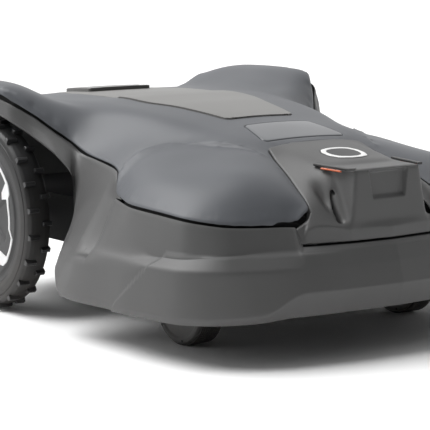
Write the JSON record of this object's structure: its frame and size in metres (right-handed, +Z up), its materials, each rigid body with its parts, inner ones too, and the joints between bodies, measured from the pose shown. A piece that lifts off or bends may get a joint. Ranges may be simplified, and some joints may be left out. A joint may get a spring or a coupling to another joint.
{
  "type": "robotic lawn mower",
  "caption": "Low wheeled mowing robot with a floating shell, large lugged rear drive wheels, swivelling front castors, a hatch over the controls and a height-adjustable blade disc.",
  "frame": {"origin": "on the ground under the middle of the machine's outline", "axes": "+X is the machine's left, +Y its rear (the nose points to -Y), +Z up"},
  "size_m": [0.56, 0.72, 0.3033],
  "materials": {
    "cover_satin": "satin moulded plastic, blue-grey",
    "nose_plastic": "finely textured moulded plastic",
    "skirt_plastic": "finely textured moulded plastic",
    "lid_plastic": "satin light grey plastic",
    "button_plastic": "red moulded button",
    "plate_plastic": "plain plate",
    "emblem": "white moulded mark",
    "lamp_dark": "dark lamp window",
    "ledge_trim": "black trim",
    "marker_lens": "orange marker lens",
    "tray_plastic": "black moulded tray",
    "display_glass": "dark display window",
    "chassis_plastic": "black glass-filled plastic",
    "castor_plastic": "dark grey plastic",
    "castor_rubber": "ribbed rubber tread",
    "tyre_rubber": "lugged rubber tyre",
    "wheel_plastic": "dark grey wheel cover",
    "silver_inlay": "silver painted inlay",
    "steel": "plain steel",
    "blade_steel": "thin blade steel",
    "disc_plastic": "black disc",
    "motor_metal": "motor can",
    "battery_plastic": "battery case",
    "board": "circuit board",
    "bush_brass": "plain bearing",
    "contact_brass": "contact plate"
  },
  "bodies": {
    "chassis": {"chassis_tub": "chassis_plastic", "chassis_plate": "chassis_plastic", "battery_pack": "battery_plastic", "battery_cover": "chassis_plastic", "main_board": "board", "drive_motor_left": "motor_metal", "drive_motor_right": "motor_metal", "castor_bushes": "bush_brass", "height_motor": "motor_metal", "charging_contacts": "contact_brass"},
    "height_screw": {"height_spindle": "steel"},
    "cutter_carriage": {"motor_housing": "chassis_plastic", "cutting_motor": "motor_metal"},
    "cutter": {"cutter_shaft": "steel", "cutting_disc": "disc_plastic", "disc_screws": "steel"},
    "skid": {"skid_plate": "chassis_plastic"},
    "float_y": {"float_frame": "chassis_plastic"},
    "float_x": {"cross_frame": "chassis_plastic"},
    "shell": {"shell_posts": "chassis_plastic", "top_cover": "cover_satin", "body_skirt": "skirt_plastic", "nose_cover": "nose_plastic", "snout_window": "lamp_dark", "nose_emblem": "emblem", "name_plate": "plate_plastic", "rear_body": "nose_plastic", "rear_console": "lid_plastic", "hinge_pins": "steel", "control_tray": "tray_plastic", "display_panel": "display_glass", "snout_ledges": "ledge_trim", "marker_strips": "marker_lens", "lamp_pod_left": "lamp_dark", "lamp_pod_right": "lamp_dark"},
    "lid": {"hatch_lid": "lid_plastic"},
    "stop": {"stop_button": "button_plastic"},
    "jog": {"jog_wheel": "tray_plastic"},
    "key": {"jog_key": "tray_plastic"},
    "blade_a": {"blade_a": "blade_steel"},
    "blade_b": {"blade_b": "blade_steel"},
    "blade_c": {"blade_c": "blade_steel"},
    "drive_wheel_left": {"tyre_left": "tyre_rubber", "wheel_rim_left": "wheel_plastic", "wheel_cover_left": "wheel_plastic", "wheel_inlay_left": "silver_inlay", "wheel_shaft_left": "steel"},
    "castor_left": {"castor_fork_left": "castor_plastic", "castor_pin_left": "steel"},
    "castor_roller_left": {"castor_wheel_left": "castor_plastic", "castor_tyre_left": "castor_rubber"},
    "drive_wheel_right": {"tyre_right": "tyre_rubber", "wheel_rim_right": "wheel_plastic", "wheel_cover_right": "wheel_plastic", "wheel_inlay_right": "silver_inlay", "wheel_shaft_right": "steel"},
    "castor_right": {"castor_fork_right": "castor_plastic", "castor_pin_right": "steel"},
    "castor_roller_right": {"castor_wheel_right": "castor_plastic", "castor_tyre_right": "castor_rubber"}
  },
  "joints": [
    {"name": "drive_wheel_left_spin", "type": "hinge", "parent": "chassis", "child": "drive_wheel_left", "pos_m": [0.248, 0.183, 0.12668], "axis": [1, 0, 0], "continuous": true},
    {"name": "castor_left_swivel", "type": "hinge", "parent": "chassis", "child": "castor_left", "pos_m": [0.172, -0.189, 0.135], "axis": [0, 0, 1], "continuous": true},
    {"name": "castor_left_roll", "type": "hinge", "parent": "castor_left", "child": "castor_roller_left", "pos_m": [0.172, -0.164, 0.051], "axis": [1, 0, 0], "continuous": true},
    {"name": "drive_wheel_right_spin", "type": "hinge", "parent": "chassis", "child": "drive_wheel_right", "pos_m": [-0.248, 0.183, 0.12668], "axis": [1, 0, 0], "continuous": true},
    {"name": "castor_right_swivel", "type": "hinge", "parent": "chassis", "child": "castor_right", "pos_m": [-0.172, -0.189, 0.135], "axis": [0, 0, 1], "continuous": true},
    {"name": "castor_right_roll", "type": "hinge", "parent": "castor_right", "child": "castor_roller_right", "pos_m": [-0.172, -0.164, 0.051], "axis": [1, 0, 0], "continuous": true},
    {"name": "cutting_height", "type": "slide", "parent": "chassis", "child": "cutter_carriage", "axis": [0, 0, 1], "range_m": [0, 0.035]},
    {"name": "height_screw_turn", "type": "hinge", "parent": "chassis", "child": "height_screw", "pos_m": [0, -0.07, 0.12], "axis": [0, 0, 1], "range_deg": [0, 1580]},
    {"name": "cutter_spin", "type": "hinge", "parent": "cutter_carriage", "child": "cutter", "pos_m": [0, 0.01, 0.05], "axis": [0, 0, 1], "continuous": true},
    {"name": "skid_spin", "type": "hinge", "parent": "cutter", "child": "skid", "pos_m": [0, 0.01, 0.02], "axis": [0, 0, 1], "continuous": true},
    {"name": "blade_a_swing", "type": "hinge", "parent": "cutter", "child": "blade_a", "pos_m": [0, 0.1, 0.028], "axis": [0, 0, 1], "continuous": true},
    {"name": "blade_b_swing", "type": "hinge", "parent": "cutter", "child": "blade_b", "pos_m": [-0.07794, -0.035, 0.028], "axis": [0, 0, 1], "continuous": true},
    {"name": "blade_c_swing", "type": "hinge", "parent": "cutter", "child": "blade_c", "pos_m": [0.07794, -0.035, 0.028], "axis": [0, 0, 1], "continuous": true},
    {"name": "bump_fore_aft", "type": "slide", "parent": "chassis", "child": "float_y", "axis": [0, 1, 0], "range_m": [-0.008, 0.008], "stiffness_N_per_m": 2500},
    {"name": "bump_sideways", "type": "slide", "parent": "float_y", "child": "float_x", "axis": [1, 0, 0], "range_m": [-0.005, 0.005], "stiffness_N_per_m": 2500},
    {"name": "shell_lift", "type": "slide", "parent": "float_x", "child": "shell", "axis": [0, 0, 1], "range_m": [0, 0.012]},
    {"name": "lid_hinge", "type": "hinge", "parent": "shell", "child": "lid", "pos_m": [0, -0.07, 0.26083], "axis": [1, 0, 0], "range_deg": [0, 70]},
    {"name": "stop_press", "type": "slide", "parent": "shell", "child": "stop", "axis": [0, 0, -1], "range_m": [0, 0.004], "stiffness_N_per_m": 1500, "springref_m": -0.004},
    {"name": "jog_turn", "type": "hinge", "parent": "shell", "child": "jog", "pos_m": [0, 0.04, 0.245], "axis": [0, 0, 1], "continuous": true},
    {"name": "key_press", "type": "slide", "parent": "jog", "child": "key", "axis": [0, 0, -1], "range_m": [0, 0.0015], "stiffness_N_per_m": 400, "springref_m": -0.002}
  ],
  "couplings": [
    {"joint": "height_screw_turn", "follows": "cutting_height", "rad_per_m": 785.4}
  ]
}
